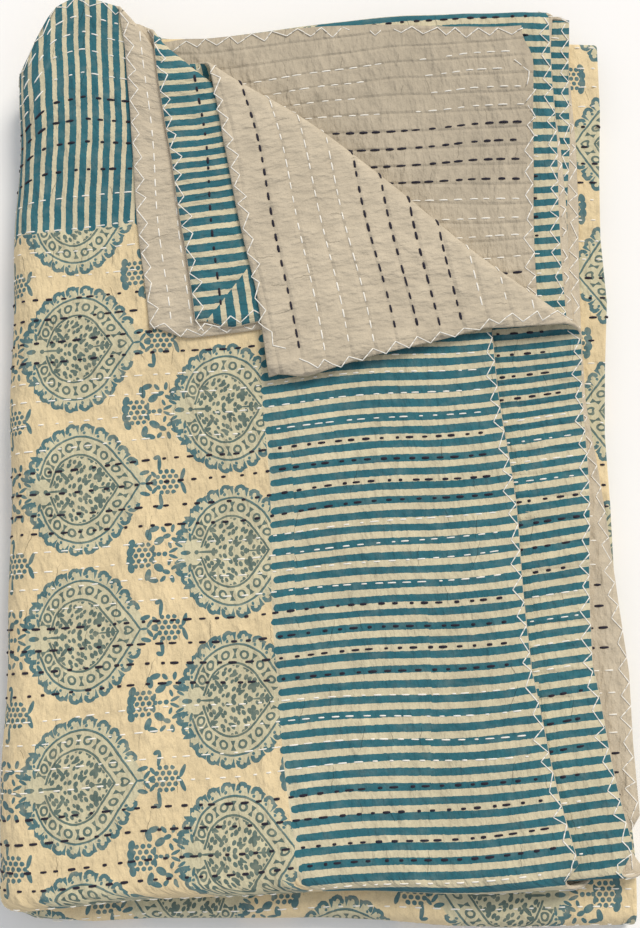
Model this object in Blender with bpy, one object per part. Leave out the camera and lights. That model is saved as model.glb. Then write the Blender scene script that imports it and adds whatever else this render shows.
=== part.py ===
# Folded throw blanket, one sheet of quilted cotton lying in sixteen layers.
# The flat cloth is mapped through its four folds and the turned-back corner, one after the other.
# A point on the flat cloth is (u, v): u from the right hem, v from the top hem, print side up.

import math

import bmesh
import bpy
import numpy as np

MM = 0.001

# The flat cloth
WIDTH = 1524 * MM
LENGTH = 2286 * MM
THICK = 1.6 * MM

# Height that one layer takes in the pile: the cloth and the air under it
PITCH = 2.4 * MM

# The fold lines. Each fold turns what lies past its line under the rest of the pile
FOLD_1 = WIDTH / 2
FOLD_2 = 1169 * MM
FOLD_3 = 603 * MM
FOLD_4 = 388 * MM
FOLD_4_TILT = math.radians(1.2)

# The half under fold 4 slipped down towards the viewer by this much, over this width
SLIP = 10.5 * MM
SLIP_WIDTH = 34 * MM

# The lower half's own top edge stands this much higher, gained over this width
LIFT = 7.5 * MM
LIFT_WIDTH = 260 * MM

# The lower half's right edge, fold 1, in mm past a straight one at places from the bottom up, and how much
# of the cloth before the fold gives way to it
EDGE_PLACES = (-600, -575, -540, -500, -445, -324, -270, -230, -191, -140, -70, 0)
EDGE = (9, 9, 8, 4, 2, -3.6, -1.5, 1, 1.5, -4, -2, -2)
EDGE_FROM = 600 * MM
EDGE_WIDTH = 150 * MM

# The pile's top left corner sinks towards the viewer
DROP = 24 * MM
DROP_FROM = (-165 * MM, 225 * MM)
DROP_WIDTH = (50 * MM, 95 * MM)

# How much higher the pile's top edge lies than a straight one, at places across the pile in mm, and the
# part of the pile over which that fades
SAG_PLACES = (-200, -182, -160, -143, -123, -108, -79, -20, 20, 59, 100, 137, 165)
SAG = (-13, 8, 11, 5, -1, -11, -12, -6, -3, 2, 5, 4, 0)
SAG_FROM = 150 * MM
SAG_WIDTH = 130 * MM

# How far each corner of the cloth is rounded off, and over what length of its hems
CORNER = 6 * MM
CORNER_LENGTH = 24 * MM

# How the folded pile lies: turned a little, then moved so that it stands round the origin
TURN = math.radians(2.0)
SHIFT = (193.0 * MM, 348.0 * MM)

# Corner turned back over the pile, layer by layer: direction its fold faces in degrees, and how far that
# fold line lies from the origin, in mm
FLAPS = [
    # layer, facing, distance
    ("A", 49.5, 144.1),
    ("B", 50.0, 152.9),
    ("C", 52.0, 168.8),
]

# Hems beside the pile, in mm past (+) or short of (-) a straight hem, at eight places from the top edge down
SIDE_PLACES = (0.0, 0.12, 0.25, 0.37, 0.5, 0.75, 0.95, 1.0)
SIDE_HEMS = [
    # layer, top, shoulder, upper, corner fold, middle, lower, foot, bottom
    ("A", -49, -45, -33, -31, -26, -20, 4, -44),
    ("H", -28, -20, -18, -22, -21, -9, -5, -44),
    ("E", -28, -11, -10, -10, -7, -12, -7, -7),
    ("D", -12, -20, -20, -22, -23, -15, -12, -7),
    ("B", -31, -38, -42, -42, -41, -33, -22, -58),
    ("G", -10, -15, -19, -20, -18, -26, -16, -58),
    ("F", -10, -18, -12, -13, -11, -19, -9, 5),
    ("C", 21, 10, 2, 14, 11, 4, 24, 5),
]

# Hems along the top edge, in mm as above, from the side hem towards fold 4 and on to fold 1
TOP_PLACES = (0.0, 0.06, 0.12, 0.16, 0.21, 0.25, 0.36, 0.5)
TOP_HEMS = [
    # layers, corner, near, half, corner fold, past it, fold 4, under, fold 1
    ("AP", -20, -16, -3, -4, 1, -12, -14, -10),
    ("BO", -20, -21, -16, -17, -20, -22, -14, -10),
    ("CN", 20, 15, 17, 12, 6, -6, -12, -10),
    ("DM", 18, 22, 30, 31, 14, -6, -12, -10),
]

# Length of cloth past fold 3 in which a hem swings from the upper layers' line to the lower layers'
FOOT = 32 * MM

# Cells between the folds and round them
FLAT_ACROSS = 7
FLAT_ALONG = 8
FOOT_CELLS = 2
ROUND_1 = 5
ROUND_2 = 5
ROUND_3 = 6
ROUND_4 = 8
ROUND_FLAP = 5

# Unevenness of the pile: share of the height, wave length along x and y in mm, start of the wave in radians
PUFF = [
    # share, across, along, start
    (0.035, 310, 420, 0.6),
    (0.025, 170, -260, 2.1),
    (0.018, -120, 150, 4.0),
]

# Sway of the edges in the plane: size in mm, wave length in mm, start in radians
SWAY_X = [(1.4, 330, 2.9), (0.8, 120, 2.6)]
SWAY_Y = [(2.6, 330, 2.2), (0.8, 140, 0.4)]


def smooth(t):
    """Soft step from 0 to 1."""
    t = np.clip(t, 0.0, 1.0)
    return t * t * (3.0 - 2.0 * t)


def roll(p, n, line, facing, axis_z, before, up=False):
    """Rolls what lies past a line round an axis at axis_z, under the pile, or over it with up.

    before is the share of each layer's bend that is taken from the side that stays.
    """
    m = np.array([math.cos(facing), math.sin(facing)])
    sign = 1.0 if up else -1.0
    radius = sign * (axis_z - p[:, 2])
    arc = math.pi * radius
    d = (p[:, :2] - np.array(line)) @ m + before * arc
    bend = np.clip(d, 0.0, arc)
    a = bend / radius
    s = radius * np.sin(a) + (d - bend) * np.cos(a)
    q = p.copy()
    q[:, :2] += np.outer(s - (d - before * arc), m)
    q[:, 2] = axis_z - sign * radius * np.cos(a)
    flat = n[:, :2] @ m
    side = flat * np.cos(a) - sign * n[:, 2] * np.sin(a)
    high = n[:, 2] * np.cos(a) + sign * flat * np.sin(a)
    w = n.copy()
    w[:, :2] += np.outer(side - flat, m)
    w[:, 2] = high
    return q, w


def lift(x):
    """How much longer the cloth runs between folds 3 and 2, past fold 4."""
    return LIFT * smooth((-FOLD_4 - x) / LIFT_WIDTH)


def fold_1_to_3(uv):
    """Middle surface and its normal after the first three folds, eight layers high."""
    p = np.column_stack([-uv[:, 0], -uv[:, 1], np.full(len(uv), PITCH / 2)])
    n = np.tile([0.0, 0.0, 1.0], (len(uv), 1))
    p, n = roll(p, n, (-FOLD_1, 0.0), math.pi, 0.0, 0.5)
    p[:, 2] += PITCH
    p, n = roll(p, n, (0.0, -FOLD_2), -math.pi / 2, 0.0, 0.0)
    p[:, 2] += 2 * PITCH
    p[:, 1] -= lift(p[:, 0])
    p, n = roll(p, n, (0.0, -FOLD_3), -math.pi / 2, 0.0, 1.0)
    p[:, 2] += 4 * PITCH
    return p, n


def fold_4(p, n):
    """Left half under the right half, and its slip towards the viewer."""
    p = p.copy()
    p[:, 0] -= np.interp(p[:, 1] / MM, EDGE_PLACES, EDGE) * MM * smooth((-EDGE_FROM - p[:, 0]) / EDGE_WIDTH)
    p[:, 1] -= SLIP * smooth((-FOLD_4 + SLIP_WIDTH / 3 - p[:, 0]) / SLIP_WIDTH)
    facing = math.pi - FOLD_4_TILT
    p, n = roll(p, n, (-FOLD_4, -FOLD_3 / 2), facing, 0.0, 1.0)
    p[:, 2] += 8 * PITCH
    return p, n


def layer_height(name):
    """Height of a layer's middle in the folded pile, A on top."""
    return (15.5 - "ABCDEFGHIJKLMNOP".index(name)) * PITCH


def flap_line(name):
    """A point on a layer's corner fold and the way it faces, before the pile is turned."""
    row = [r for r in FLAPS if r[0] == name][0]
    facing = math.radians(row[1])
    on_line = np.array([math.cos(facing), math.sin(facing)]) * row[2] * MM - np.array(SHIFT)
    c = math.cos(-TURN)
    s = math.sin(-TURN)
    return (c * on_line[0] - s * on_line[1], s * on_line[0] + c * on_line[1]), facing - TURN


def turn_corner(p, n):
    """The top three layers' corner, each turned back over the pile on its own line."""
    for name, _, _ in FLAPS:
        mine = np.abs(p[:, 2] - layer_height(name)) < PITCH / 4
        on_line, facing = flap_line(name)
        q, w = roll(p[mine], n[mine], on_line, facing, 16 * PITCH, 0.0, up=True)
        p[mine] = q
        n[mine] = w
    return p, n


def waves(x, rows):
    """Sum of a few long waves."""
    return sum(size * MM * np.sin(2 * math.pi * x / (length * MM) + start) for size, length, start in rows)


def place(p, n):
    """Turns the pile to its place and sways its edges."""
    c = math.cos(TURN)
    s = math.sin(TURN)
    x = c * p[:, 0] - s * p[:, 1] + SHIFT[0]
    y = s * p[:, 0] + c * p[:, 1] + SHIFT[1]
    drop = DROP * smooth((DROP_FROM[0] - x) / DROP_WIDTH[0]) * smooth((y - DROP_FROM[1]) / DROP_WIDTH[1])
    sag = np.interp(x / MM, SAG_PLACES, SAG) * MM * smooth((y - SAG_FROM) / SAG_WIDTH)
    out = np.column_stack([x + waves(y, SWAY_X), y + waves(x, SWAY_Y) - drop + sag, p[:, 2]])
    turned = np.column_stack([c * n[:, 0] - s * n[:, 1], s * n[:, 0] + c * n[:, 1], n[:, 2]])
    return out, turned


def puff(v):
    """Heights of the finished skin, swollen and sunk a little from place to place, flat underneath."""
    v[:, 2] -= (PITCH - THICK) / 2
    share = np.zeros(len(v))
    for size, across, along, start in PUFF:
        share += size * np.sin(2 * math.pi * (v[:, 0] / (across * MM) + v[:, 1] / (along * MM)) + start)
    v[:, 2] *= 1.0 + share
    return v


def folded(uv, side):
    """Skin of the folded cloth over (u, v), on the print side (+1) or the back (-1)."""
    p, n = fold_1_to_3(uv)
    p, n = fold_4(p, n)
    p, n = turn_corner(p, n)
    p, n = place(p, n)
    return puff(p + n * side * THICK / 2)


def hem_table(rows, name):
    """One named row of a hem table, in metres."""
    row = [r for r in rows if r[0] == name][0]
    return [value * MM for value in row[1:]]


def rounding(distance):
    """How far a hem is drawn in near a corner of the cloth, at a distance from it."""
    return CORNER * (1.0 - smooth(distance / CORNER_LENGTH))


def side_ease(v, letters):
    """How far a side hem stands past its straight line, from the top hem to the other end."""
    first, second, third, fourth = [hem_table(SIDE_HEMS, letter) for letter in letters]
    ease = first + second[::-1][1:] + third[1:] + fourth[::-1][1:]
    ends = [0.0, FOLD_3, FOLD_2, 2 * FOLD_2 - FOLD_3, LENGTH]
    places = [0.0]
    for k in range(4):
        down = SIDE_PLACES if k % 2 == 0 else [1 - a for a in SIDE_PLACES[::-1]]
        places += [ends[k] + (ends[k + 1] - ends[k]) * a for a in down[1:]]
    return np.interp(v, places, ease) - rounding(np.minimum(v, LENGTH - v))


def top_ease(u, low, high):
    """How far the top or bottom hem stands past its straight line, from one side hem to the other."""
    near = hem_table(TOP_HEMS, low)
    far = hem_table(TOP_HEMS, high)
    places = [WIDTH * a for a in TOP_PLACES] + [WIDTH * (1 - a) for a in TOP_PLACES[::-1]]
    return np.interp(u, places, near + far[::-1]) - rounding(np.minimum(u, WIDTH - u))


def steps(a, b, count):
    """Even steps from a to b without b."""
    return [a + (b - a) * k / count for k in range(count)]


def row_places(z1, start, end, extra=0.0):
    """Places of the grid rows along v, for a column at height z1 after the first fold and its extra length."""
    r2 = z1
    first = z1 + 2 * PITCH
    second = 2 * PITCH - z1
    front = FOLD_3 - extra
    back = 2 * FOLD_2 + math.pi * r2 - FOLD_3 + extra
    rows = steps(start, front - math.pi * first, FLAT_ALONG)
    rows += steps(front - math.pi * first, front, ROUND_3)
    rows += steps(front, front + FOOT, FOOT_CELLS)
    rows += steps(front + FOOT, FOLD_2, FLAT_ALONG)
    rows += steps(FOLD_2, FOLD_2 + math.pi * r2, ROUND_2)
    rows += steps(FOLD_2 + math.pi * r2, back - FOOT, FLAT_ALONG)
    rows += steps(back - FOOT, back, FOOT_CELLS)
    rows += steps(back, back + math.pi * second, ROUND_3)
    rows += steps(back + math.pi * second, end, FLAT_ALONG)
    return rows + [end]


def fold_4_places(u, v):
    """Distance along -x at which the bend of fold 4 starts and ends, for rows that pass (u, v)."""
    p, _ = fold_1_to_3(np.column_stack([np.full(len(v), u), v]))
    lean = (p[:, 1] + FOLD_3 / 2) * math.tan(FOLD_4_TILT)
    line = FOLD_4 - lean
    return line - math.pi * p[:, 2] / math.cos(FOLD_4_TILT), line


def grid():
    """Places (u, v) of the whole grid, its columns and rows gathered where the folds bend."""
    r1 = PITCH / 2
    arc = math.pi * r1
    low = np.array(row_places(1.5 * PITCH, 0.0, LENGTH))
    high = np.array(row_places(0.5 * PITCH, 0.0, LENGTH))
    low_a, low_b = fold_4_places(WIDTH / 8, low)
    high_a, high_b = fold_4_places(WIDTH * 7 / 8, high)
    ends = [
        (-side_ease(low, "AHED"), FLAT_ACROSS),
        (low_a, ROUND_4),
        (low_b, FLAT_ACROSS),
        (np.full(len(low), FOLD_1 - arc / 2), ROUND_1),
        (np.full(len(low), FOLD_1 + arc / 2), FLAT_ACROSS),
        (WIDTH - high_b, ROUND_4),
        (WIDTH - high_a, FLAT_ACROSS),
        (WIDTH + side_ease(high, "BGFC"), 0),
    ]
    columns = []
    for (a, count), (b, _) in zip(ends[:-1], ends[1:]):
        columns += [a + (b - a) * k / count for k in range(count)]
    u = np.array(columns + [ends[-1][0]])
    bend = np.clip((u[:, 0] - (FOLD_1 - arc / 2)) / r1, 0.0, math.pi)
    z1 = PITCH + r1 * np.cos(bend)
    start = -top_ease(u[:, 0], "AP", "BO")
    end = LENGTH + top_ease(u[:, 0], "DM", "CN")
    x = -np.minimum(u[:, 0], WIDTH - u[:, 0])
    v = np.array([row_places(*column) for column in zip(z1, start, end, lift(x))])
    return u, v


def cut_corner(bm, name, u_sign, v_sign):
    """Cuts the flat grid along the bends of one layer's turned-back corner."""
    probe = np.array([[WIDTH / 12 if u_sign < 0 else WIDTH * 11 / 12, FOLD_3 / 6]])
    if v_sign > 0:
        probe[0, 1] = LENGTH - FOLD_3 / 6
    p, _ = fold_4(*fold_1_to_3(probe))
    on_line, facing = flap_line(name)
    arc = math.pi * (16 * PITCH - layer_height(name))
    # Along u and v the pile's x and y run forwards or backwards
    across = u_sign * math.cos(facing)
    along = v_sign * math.sin(facing)
    for k in range(ROUND_FLAP + 1):
        d = arc * k / ROUND_FLAP
        x = on_line[0] + d * math.cos(facing)
        y = on_line[1] + d * math.sin(facing)
        spot = (probe[0, 0] + u_sign * (x - p[0, 0]), probe[0, 1] + v_sign * (y - p[0, 1]), 0.0)
        panel = [f for f in bm.faces if in_panel(f, u_sign, v_sign)]
        parts = panel + list({e for f in panel for e in f.edges}) + list({q for f in panel for q in f.verts})
        bmesh.ops.bisect_plane(bm, geom=parts, dist=0.3 * MM, plane_co=spot, plane_no=(across, along, 0.0))


def in_panel(face, u_sign, v_sign):
    """Whether a flat face lies in the corner panel on that side of the cloth."""
    c = face.calc_center_median()
    u = c.x if u_sign < 0 else WIDTH - c.x
    v = c.y if v_sign < 0 else LENGTH - c.y
    return u < FOLD_4 - 18 * math.pi * MM and v < FOLD_3 - 30 * MM


def flat_mesh():
    """The flat cloth as triangles over (u, v)."""
    u, v = grid()
    bm = bmesh.new()
    verts = [[bm.verts.new((a, b, 0.0)) for a, b in zip(*line)] for line in zip(u, v)]
    for i in range(len(verts) - 1):
        for j in range(len(verts[0]) - 1):
            bm.faces.new((verts[i][j], verts[i + 1][j], verts[i + 1][j + 1], verts[i][j + 1]))
    cut_corner(bm, "A", -1, -1)
    cut_corner(bm, "B", 1, -1)
    cut_corner(bm, "C", 1, 1)
    bmesh.ops.triangulate(bm, faces=bm.faces[:])
    bm.verts.index_update()
    return bm


def build():
    """The folded throw as one closed solid."""
    flat = flat_mesh()
    uv = np.array([(q.co.x, q.co.y) for q in flat.verts])
    count = len(uv)
    faces = [[q.index for q in f.verts] for f in flat.faces]
    rim = [(e.link_loops[0].vert.index, e.link_loops[0].link_loop_next.vert.index) for e in flat.edges if e.is_boundary]
    flat.free()
    skin = np.vstack([folded(uv, 1.0), folded(uv, -1.0)])
    skin[:, :2] -= (skin[:, :2].min(axis=0) + skin[:, :2].max(axis=0)) / 2
    skin[:, 2] -= skin[:, 2].min()
    solid = faces + [[k + count for k in f[::-1]] for f in faces]
    for a, b in rim:
        solid += [[b, a, a + count], [b, a + count, b + count]]
    mesh = bpy.data.meshes.new("throw")
    mesh.from_pydata(skin.tolist(), [], solid)
    mesh.update()
    return mesh


def cotton():
    """Quilted cotton as a plain finish."""
    material = bpy.data.materials.new("quilted cotton")
    material.use_nodes = True
    shader = material.node_tree.nodes["Principled BSDF"]
    shader.inputs["Base Color"].default_value = (0.52, 0.44, 0.33, 1.0)
    shader.inputs["Roughness"].default_value = 0.9
    return material


def main():
    for ob in list(bpy.data.objects):
        bpy.data.objects.remove(ob)
    throw = bpy.data.objects.new("throw", build())
    throw.data.materials.append(cotton())
    bpy.context.scene.collection.objects.link(throw)


main()
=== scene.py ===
# %% [markdown]
# # Folded printed throw
# One quilted cotton throw, block printed in teal on its face and plain beige behind, folded four times
# into sixteen layers, with the top three layers' corner turned back.
# The cloth is rebuilt here as one fine sheet on the folds of the CAD solid, and the running stitches and
# the zigzag hem thread are laid on it.

import ast
import math

import bmesh
import bpy
import numpy as np
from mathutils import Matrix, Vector, noise
from mathutils.bvhtree import BVHTree


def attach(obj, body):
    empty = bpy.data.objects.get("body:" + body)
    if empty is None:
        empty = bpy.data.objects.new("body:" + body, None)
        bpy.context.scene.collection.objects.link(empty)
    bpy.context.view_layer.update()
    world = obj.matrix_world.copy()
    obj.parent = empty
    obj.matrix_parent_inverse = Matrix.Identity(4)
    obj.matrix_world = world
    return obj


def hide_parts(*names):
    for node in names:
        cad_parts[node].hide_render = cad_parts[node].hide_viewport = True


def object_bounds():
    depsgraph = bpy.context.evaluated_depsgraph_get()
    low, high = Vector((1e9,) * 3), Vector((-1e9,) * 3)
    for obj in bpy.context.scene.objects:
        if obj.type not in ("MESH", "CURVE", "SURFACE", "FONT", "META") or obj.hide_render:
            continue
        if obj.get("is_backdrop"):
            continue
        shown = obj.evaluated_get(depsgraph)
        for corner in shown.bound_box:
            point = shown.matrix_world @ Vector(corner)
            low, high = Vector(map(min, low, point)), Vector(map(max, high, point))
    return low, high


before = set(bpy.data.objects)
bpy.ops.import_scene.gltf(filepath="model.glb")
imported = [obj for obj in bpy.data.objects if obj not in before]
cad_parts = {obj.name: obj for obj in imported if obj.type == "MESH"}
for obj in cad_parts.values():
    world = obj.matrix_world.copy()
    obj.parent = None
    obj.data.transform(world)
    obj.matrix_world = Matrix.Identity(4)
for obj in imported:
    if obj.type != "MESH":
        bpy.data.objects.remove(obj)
size_at_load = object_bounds()
print("nodes:", sorted(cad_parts), "box:", size_at_load)


def show(name, data):
    """A new object in the scene, at the origin."""
    made = bpy.data.objects.new(name, data)
    bpy.context.scene.collection.objects.link(made)
    return made


# %% [markdown]
# ## Sizes
# Everything is measured on the flat cloth: u from the right hem, v from the top hem, print side up.
# The folds and the slip of the lower half are those of the CAD solid. The cells are finer, and the hem
# tables are the same but for one more place near the top fold and a little at the corners.

# %% Sizes of the cloth and its folds
MM = 0.001
WIDTH = 1524 * MM
LENGTH = 2286 * MM
THICK = 1.6 * MM
PITCH = 2.4 * MM
FOLD_1 = WIDTH / 2
FOLD_2 = 1169 * MM
FOLD_3 = 603 * MM
FOLD_4 = 388 * MM
FOLD_4_TILT = math.radians(1.2)
SLIP = 10.5 * MM
SLIP_WIDTH = 34 * MM
LIFT = 7.5 * MM
LIFT_WIDTH = 260 * MM

# The lower half's right edge in mm past a straight one, at places in mm from the bottom up
EDGE_PLACES = (-600, -575, -540, -500, -445, -324, -270, -230, -191, -140, -70, 0)
EDGE = (9, 9, 8, 4, 2, -3.6, -1.5, 1, 1.5, -4, -2, -2)
EDGE_FROM = 600 * MM
EDGE_WIDTH = 150 * MM

# The sunk top left corner, and how much higher the top edge lies at places across the pile, in mm
DROP = 24 * MM
DROP_FROM = (-165 * MM, 225 * MM)
DROP_WIDTH = (50 * MM, 95 * MM)
SAG_PLACES = (-200, -182, -160, -143, -123, -108, -79, -20, 20, 59, 100, 137, 165)
SAG = (-13, 8, 11, 5, -1, -11, -12, -6, -3, 2, 5, 4, 0)
SAG_FROM = 150 * MM
SAG_WIDTH = 130 * MM
CORNER = 10 * MM
CORNER_LENGTH = 26 * MM
TURN = math.radians(2.0)
SHIFT = (193.0 * MM, 348.0 * MM)
CENTRE = (-2.779 * MM, 11.650 * MM)

FLAPS = [
    # layer, facing in degrees, distance in mm
    ("A", 49.5, 144.1),
    ("B", 50.0, 152.9),
    ("C", 52.0, 168.8),
]

# Hems in mm past (+) or short of (-) a straight hem, from the top edge down
SIDE_PLACES = (0.0, 0.02, 0.12, 0.25, 0.37, 0.5, 0.75, 0.95, 1.0)
SIDE_HEMS = [
    # layer, top, neck, shoulder, upper, corner fold, middle, lower, foot, bottom
    ("A", -38, -38, -38, -33, -31, -26, -20, 4, -44),
    ("H", -28, -19, -20, -18, -22, -21, -9, -5, -44),
    ("E", -28, -10, -11, -10, -10, -7, -12, -7, -7),
    ("D", -12, -14, -20, -20, -22, -23, -15, -12, -7),
    ("B", -31, -33, -38, -42, -42, -41, -33, -22, -58),
    ("G", -10, -11, -15, -19, -20, -18, -26, -16, -58),
    ("F", -10, -24, -18, -12, -13, -11, -19, -9, 5),
    ("C", 21, 18, 10, 2, 14, 11, 4, 24, 5),
]

# Hems in mm as above, from the side hem to fold 1
TOP_PLACES = (0.0, 0.06, 0.12, 0.16, 0.21, 0.25, 0.36, 0.5)
TOP_HEMS = [
    # layers, corner, near, half, corner fold, past it, fold 4, under, fold 1
    ("AP", -2, -2, -1, -4, 1, -12, -14, -10),
    ("BO", -20, -21, -16, -17, -20, -22, -14, -10),
    ("CN", 20, 15, 17, 12, 6, -6, -12, -10),
    ("DM", 18, 22, 30, 31, 14, -6, -12, -10),
]

PUFF = [
    # share of the height, across, along, start
    (0.035, 310, 420, 0.6),
    (0.025, 170, -260, 2.1),
    (0.018, -120, 150, 4.0),
]
SWAY_X = [(1.4, 330, 2.9), (0.8, 120, 2.6)]
SWAY_Y = [(2.6, 330, 2.2), (0.8, 140, 0.4)]

# Length of cloth past fold 3 in which a hem swings from the upper layers' line to the lower layers'
FOOT = 32 * MM

# Cells across the cloth in its first, second, third and last quarter, and along it in the same way
ACROSS = (60, 10, 10, 44)
ALONG = (96, 12, 12, 96)
FOOT_CELLS = 4
ROUND_1 = 6
ROUND_2 = 6
ROUND_3 = 8
ROUND_4 = 12
ROUND_FLAP = 6

# %% [markdown]
# ## Folding
# Cloth is folded by rolling what lies past a line round a thin roll of air, layer by layer, so each layer
# keeps its length and none meets the next. Four such rolls make the pile, and three smaller ones, each on
# its own line, turn back the corner of the top three layers.


# %% Rolling layers round a fold
def smooth(t):
    """Soft step from 0 to 1."""
    t = np.clip(t, 0.0, 1.0)
    return t * t * (3.0 - 2.0 * t)


def roll(p, n, line, facing, axis_z, before, up=False):
    """Rolls what lies past a line round an axis at axis_z, under the pile, or over it with up."""
    m = np.array([math.cos(facing), math.sin(facing)])
    sign = 1.0 if up else -1.0
    radius = sign * (axis_z - p[:, 2])
    arc = math.pi * radius
    d = (p[:, :2] - np.array(line)) @ m + before * arc
    bend = np.clip(d, 0.0, arc)
    a = bend / radius
    s = radius * np.sin(a) + (d - bend) * np.cos(a)
    q = p.copy()
    q[:, :2] += np.outer(s - (d - before * arc), m)
    q[:, 2] = axis_z - sign * radius * np.cos(a)
    flat = n[:, :2] @ m
    side = flat * np.cos(a) - sign * n[:, 2] * np.sin(a)
    w = n.copy()
    w[:, :2] += np.outer(side - flat, m)
    w[:, 2] = n[:, 2] * np.cos(a) + sign * flat * np.sin(a)
    return q, w


def lift(x):
    """How much longer the cloth runs between folds 3 and 2, past fold 4."""
    return LIFT * smooth((-FOLD_4 - x) / LIFT_WIDTH)


def fold_1_to_3(uv):
    """Middle surface and its normal after the first three folds, eight layers high."""
    p = np.column_stack([-uv[:, 0], -uv[:, 1], np.full(len(uv), PITCH / 2)])
    n = np.tile([0.0, 0.0, 1.0], (len(uv), 1))
    p, n = roll(p, n, (-FOLD_1, 0.0), math.pi, 0.0, 0.5)
    p[:, 2] += PITCH
    p, n = roll(p, n, (0.0, -FOLD_2), -math.pi / 2, 0.0, 0.0)
    p[:, 2] += 2 * PITCH
    p[:, 1] -= lift(p[:, 0])
    p, n = roll(p, n, (0.0, -FOLD_3), -math.pi / 2, 0.0, 1.0)
    p[:, 2] += 4 * PITCH
    return p, n


def fold_4(p, n):
    """Left half under the right half, and its slip towards the viewer."""
    p = p.copy()
    p[:, 0] -= np.interp(p[:, 1] / MM, EDGE_PLACES, EDGE) * MM * smooth((-EDGE_FROM - p[:, 0]) / EDGE_WIDTH)
    p[:, 1] -= SLIP * smooth((-FOLD_4 + SLIP_WIDTH / 3 - p[:, 0]) / SLIP_WIDTH)
    p, n = roll(p, n, (-FOLD_4, -FOLD_3 / 2), math.pi - FOLD_4_TILT, 0.0, 1.0)
    p[:, 2] += 8 * PITCH
    return p, n


# %% The turned-back corner and the pile's place
def layer_height(name):
    """Height of a layer's middle in the folded pile, A on top."""
    return (15.5 - "ABCDEFGHIJKLMNOP".index(name)) * PITCH


def flap_line(name):
    """A point on a layer's corner fold and the way it faces, before the pile is turned."""
    row = [r for r in FLAPS if r[0] == name][0]
    facing = math.radians(row[1])
    on_line = np.array([math.cos(facing), math.sin(facing)]) * row[2] * MM - np.array(SHIFT)
    c = math.cos(-TURN)
    s = math.sin(-TURN)
    return (c * on_line[0] - s * on_line[1], s * on_line[0] + c * on_line[1]), facing - TURN


def turn_corner(p, n):
    """The top three layers' corner, each turned back over the pile on its own line."""
    for name, _, _ in FLAPS:
        mine = np.abs(p[:, 2] - layer_height(name)) < PITCH / 4
        on_line, facing = flap_line(name)
        p[mine], n[mine] = roll(p[mine], n[mine], on_line, facing, 16 * PITCH, 0.0, up=True)
    return p, n


def waves(x, rows):
    """Sum of a few long waves."""
    return sum(size * MM * np.sin(2 * math.pi * x / (length * MM) + start) for size, length, start in rows)


def place(p, n):
    """Turns the pile to its place and sways its edges."""
    c = math.cos(TURN)
    s = math.sin(TURN)
    x = c * p[:, 0] - s * p[:, 1] + SHIFT[0]
    y = s * p[:, 0] + c * p[:, 1] + SHIFT[1]
    drop = DROP * smooth((DROP_FROM[0] - x) / DROP_WIDTH[0]) * smooth((y - DROP_FROM[1]) / DROP_WIDTH[1])
    sag = np.interp(x / MM, SAG_PLACES, SAG) * MM * smooth((y - SAG_FROM) / SAG_WIDTH)
    out = np.column_stack([x + waves(y, SWAY_X), y + waves(x, SWAY_Y) - drop + sag, p[:, 2]])
    turned = np.column_stack([c * n[:, 0] - s * n[:, 1], s * n[:, 0] + c * n[:, 1], n[:, 2]])
    return out, turned


def puff(v):
    """Heights of the finished skin, swollen and sunk a little from place to place, flat underneath."""
    v[:, 2] -= (PITCH - THICK) / 2
    share = np.zeros(len(v))
    for size, across, along, start in PUFF:
        share += size * np.sin(2 * math.pi * (v[:, 0] / (across * MM) + v[:, 1] / (along * MM)) + start)
    v[:, 2] *= 1.0 + share
    return v


def folded(uv, side, out=0.0):
    """Skin of the folded cloth over (u, v), on the print side (+1) or the back (-1), out metres proud."""
    p, n = fold_1_to_3(uv)
    p, n = fold_4(p, n)
    p, n = turn_corner(p, n)
    p, n = place(p, n)
    offset = side * (THICK / 2 + out)
    if np.ndim(offset):
        offset = offset[:, None]
    v = puff(p + n * offset)
    v[:, :2] -= np.array(CENTRE)
    return v


# %% [markdown]
# ## The flat cloth
# The hems of a hand-made throw are never straight, so each layer's hem has its own short table of how far
# it stands past a straight line. The grid gathers its lines where a fold bends, and is cut along the
# slanting bends of the turned-back corner.


# %% Hems and grid
def hem_table(rows, name):
    """One named row of a hem table, in metres."""
    row = [r for r in rows if r[0] == name][0]
    return [value * MM for value in row[1:]]


def rounding(distance):
    """How far a hem is drawn in near a corner of the cloth, at a distance from it."""
    return CORNER * (1.0 - smooth(distance / CORNER_LENGTH))


def side_ease(v, letters):
    """How far a side hem stands past its straight line, from the top hem to the other end."""
    first, second, third, fourth = [hem_table(SIDE_HEMS, letter) for letter in letters]
    ease = first + second[::-1][1:] + third[1:] + fourth[::-1][1:]
    ends = [0.0, FOLD_3, FOLD_2, 2 * FOLD_2 - FOLD_3, LENGTH]
    places = [0.0]
    for k in range(4):
        down = SIDE_PLACES if k % 2 == 0 else [1 - a for a in SIDE_PLACES[::-1]]
        places += [ends[k] + (ends[k + 1] - ends[k]) * a for a in down[1:]]
    return np.interp(v, places, ease) - rounding(np.minimum(v, LENGTH - v))


def top_ease(u, low, high):
    """How far the top or bottom hem stands past its straight line, from one side hem to the other."""
    near = hem_table(TOP_HEMS, low)
    far = hem_table(TOP_HEMS, high)
    places = [WIDTH * a for a in TOP_PLACES] + [WIDTH * (1 - a) for a in TOP_PLACES[::-1]]
    return np.interp(u, places, near + far[::-1]) - rounding(np.minimum(u, WIDTH - u))


def right_hem(v):
    """Place u of the right hem."""
    return -side_ease(v, "AHED")


def left_hem(v):
    """Place u of the left hem."""
    return WIDTH + side_ease(v, "BGFC")


def top_hem(u):
    """Place v of the top hem."""
    return -top_ease(u, "AP", "BO")


def end_hem(u):
    """Place v of the hem at the other end."""
    return LENGTH + top_ease(u, "DM", "CN")


def steps(a, b, count):
    """Even steps from a to b without b."""
    return [a + (b - a) * k / count for k in range(count)]


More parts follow.
